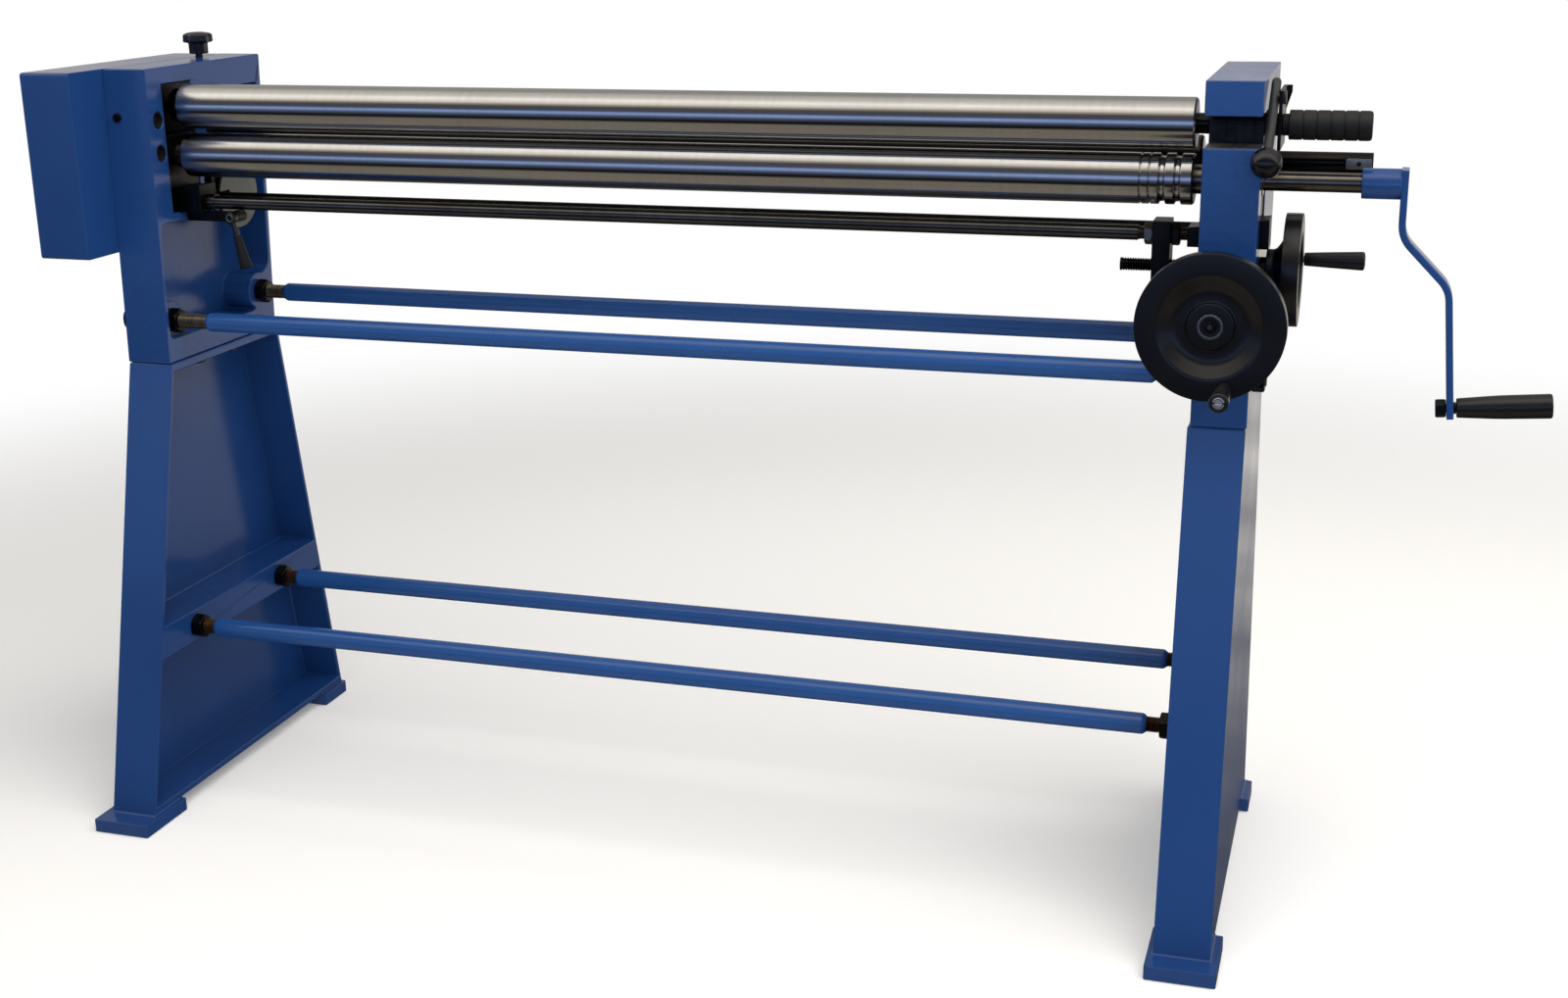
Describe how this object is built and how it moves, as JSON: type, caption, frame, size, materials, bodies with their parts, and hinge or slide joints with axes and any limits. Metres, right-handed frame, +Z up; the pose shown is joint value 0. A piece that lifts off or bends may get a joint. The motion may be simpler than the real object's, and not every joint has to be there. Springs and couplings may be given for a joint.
{
  "type": "slip roll machine",
  "caption": "Hand-cranked slip roll: geared pinch rolls and a rear bending roll between cast housings, with a swing-out upper roll, on splayed sheet-steel stands.",
  "frame": {"origin": "middle of the footprint on the floor: centre of the overall length and width, at the underside of the feet", "axes": "+X along the rolls towards the crank, +Y away from the operator, +Z up"},
  "size_m": [1.918, 0.546, 1.059],
  "materials": {
    "enamel": "glossy royal-blue enamel over cast iron and sheet steel",
    "polished_steel": "ground and polished steel",
    "bare_steel": "turned and milled steel, oiled",
    "black_steel": "black oxide",
    "black_plastic": "moulded black plastic with a soft shine",
    "black_rubber": "ribbed black rubber",
    "cast_plate": "dark machined cast iron"
  },
  "bodies": {
    "frame": {"left_stand": "enamel", "right_stand": "enamel", "left_housing": "enamel", "right_housing": "enamel", "gear_cover": "enamel", "tie_rod_upper_front": "enamel", "tie_rod_upper_rear": "enamel", "tie_rod_lower_front": "enamel", "tie_rod_lower_rear": "enamel", "nut_upper_front_left": "black_steel", "nut_upper_front_right": "black_steel", "nut_upper_rear_left": "black_steel", "nut_upper_rear_right": "black_steel", "nut_lower_front_left": "black_steel", "nut_lower_front_right": "black_steel", "nut_lower_rear_left": "black_steel", "nut_lower_rear_right": "black_steel", "outer_nut_upper_front_left": "black_steel", "outer_nut_upper_front_right": "black_steel", "outer_nut_upper_rear_left": "black_steel", "outer_nut_upper_rear_right": "black_steel", "housing_bolt_left_front": "black_steel", "housing_bolt_left_rear": "black_steel", "housing_bolt_right_front": "black_steel", "housing_bolt_right_rear": "black_steel", "drive_bearing": "black_steel", "front_bush": "black_steel", "guide_disc": "cast_plate", "clamp_bracket": "black_steel"},
    "lower_blocks": {"lower_block_left": "black_steel", "lower_block_right": "black_steel"},
    "lower_roll": {"lower_roll": "polished_steel", "lower_gear": "bare_steel", "crank_arm": "enamel", "crank_spindle": "black_steel"},
    "crank_grip": {"crank_grip": "black_plastic"},
    "upper_drive": {"drive_stub": "bare_steel", "upper_gear": "bare_steel"},
    "swing_bearing": {"drop_block": "black_steel"},
    "upper_roll": {"upper_roll": "polished_steel", "upper_grip": "black_rubber"},
    "ball_lever": {"ball_lever": "black_steel"},
    "side_wheel": {"side_screw": "bare_steel", "side_handwheel": "black_plastic"},
    "side_handle": {"side_handle": "black_plastic"},
    "draw_rod": {"draw_rod": "polished_steel", "rod_bracket": "black_steel", "rod_nut_inner": "bare_steel", "rod_nut_outer": "black_steel", "draw_wedge_left": "black_steel", "draw_wedge_right": "black_steel"},
    "front_wheel": {"front_screw": "bare_steel", "front_handwheel": "black_plastic"},
    "front_handle": {"front_handle": "black_plastic"},
    "rear_wedges": {"rear_wedge_bar": "black_steel"},
    "rear_blocks": {"rear_block_left": "black_steel", "rear_block_right": "black_steel"},
    "rear_roll": {"rear_roll": "polished_steel"},
    "star_knob": {"star_knob": "black_plastic"},
    "clamp_lever": {"clamp_lever": "black_steel"}
  },
  "joints": [
    {"name": "lower_lift", "type": "slide", "parent": "frame", "child": "lower_blocks", "axis": [0, 0, 1], "range_m": [-0.00094, 0.00425]},
    {"name": "lower_roll_spin", "type": "hinge", "parent": "lower_blocks", "child": "lower_roll", "pos_m": [-0.13097, -0.015, 0.9047], "axis": [1, 0, 0], "continuous": true},
    {"name": "crank_grip_spin", "type": "hinge", "parent": "lower_roll", "child": "crank_grip", "pos_m": [0.84253, -0.015, 0.6467], "axis": [0.9967, 0, 0.0811], "continuous": true},
    {"name": "upper_gear_spin", "type": "hinge", "parent": "frame", "child": "upper_drive", "pos_m": [-0.84597, -0.015, 0.9695], "axis": [1, 0, 0], "continuous": true},
    {"name": "upper_swing", "type": "hinge", "parent": "frame", "child": "swing_bearing", "pos_m": [-0.84597, -0.015, 0.9695], "axis": [0, 0, -1], "range_deg": [0, 15]},
    {"name": "upper_roll_spin", "type": "hinge", "parent": "swing_bearing", "child": "upper_roll", "pos_m": [-0.13097, -0.015, 0.9695], "axis": [1, 0, 0], "continuous": true},
    {"name": "ball_lever_pivot", "type": "hinge", "parent": "swing_bearing", "child": "ball_lever", "pos_m": [0.63063, -0.023, 1.001], "axis": [-1, 0, 0], "range_deg": [0, 70]},
    {"name": "side_wheel_turn", "type": "hinge", "parent": "frame", "child": "side_wheel", "pos_m": [0.64, -0.015, 0.802], "axis": [1, 0, 0], "range_deg": [-4080, 900]},
    {"name": "side_handle_spin", "type": "hinge", "parent": "side_wheel", "child": "side_handle", "pos_m": [0.704, 0.03887, 0.80577], "axis": [1, 0, 0], "continuous": true},
    {"name": "draw_rod_slide", "type": "slide", "parent": "frame", "child": "draw_rod", "axis": [1, 0, 0], "range_m": [-0.0344, 0.008]},
    {"name": "front_wheel_turn", "type": "hinge", "parent": "frame", "child": "front_wheel", "pos_m": [0.58203, -0.17, 0.761], "axis": [0, 1, 0], "range_deg": [-540, 2232]},
    {"name": "front_handle_spin", "type": "hinge", "parent": "front_wheel", "child": "front_handle", "pos_m": [0.60132, -0.205, 0.69371], "axis": [0, 1, 0], "continuous": true},
    {"name": "rear_wedge_slide", "type": "slide", "parent": "frame", "child": "rear_wedges", "axis": [0, 1, 0], "range_m": [-0.025, 0.00625]},
    {"name": "rear_lift", "type": "slide", "parent": "frame", "child": "rear_blocks", "axis": [0, 0, 1], "range_m": [-0.0048, 0.01984]},
    {"name": "rear_roll_spin", "type": "hinge", "parent": "rear_blocks", "child": "rear_roll", "pos_m": [-0.13097, 0.077, 0.916], "axis": [1, 0, 0], "continuous": true},
    {"name": "star_knob_turn", "type": "hinge", "parent": "frame", "child": "star_knob", "pos_m": [-0.87297, 0.125, 1.03], "axis": [0, 0, 1], "range_deg": [-180, 180]},
    {"name": "clamp_lever_turn", "type": "hinge", "parent": "frame", "child": "clamp_lever", "pos_m": [-0.74247, -0.031, 0.822], "axis": [0, 1, 0], "range_deg": [-60, 20]}
  ],
  "couplings": [
    {"joint": "upper_gear_spin", "follows": "lower_roll_spin", "ratio": -1},
    {"joint": "upper_roll_spin", "follows": "lower_roll_spin", "ratio": -1},
    {"joint": "draw_rod_slide", "follows": "lower_lift", "ratio": -8},
    {"joint": "side_wheel_turn", "follows": "lower_lift", "rad_per_m": -16755},
    {"joint": "rear_wedge_slide", "follows": "rear_lift", "ratio": -1.25},
    {"joint": "front_wheel_turn", "follows": "rear_lift", "rad_per_m": 1963.5}
  ]
}
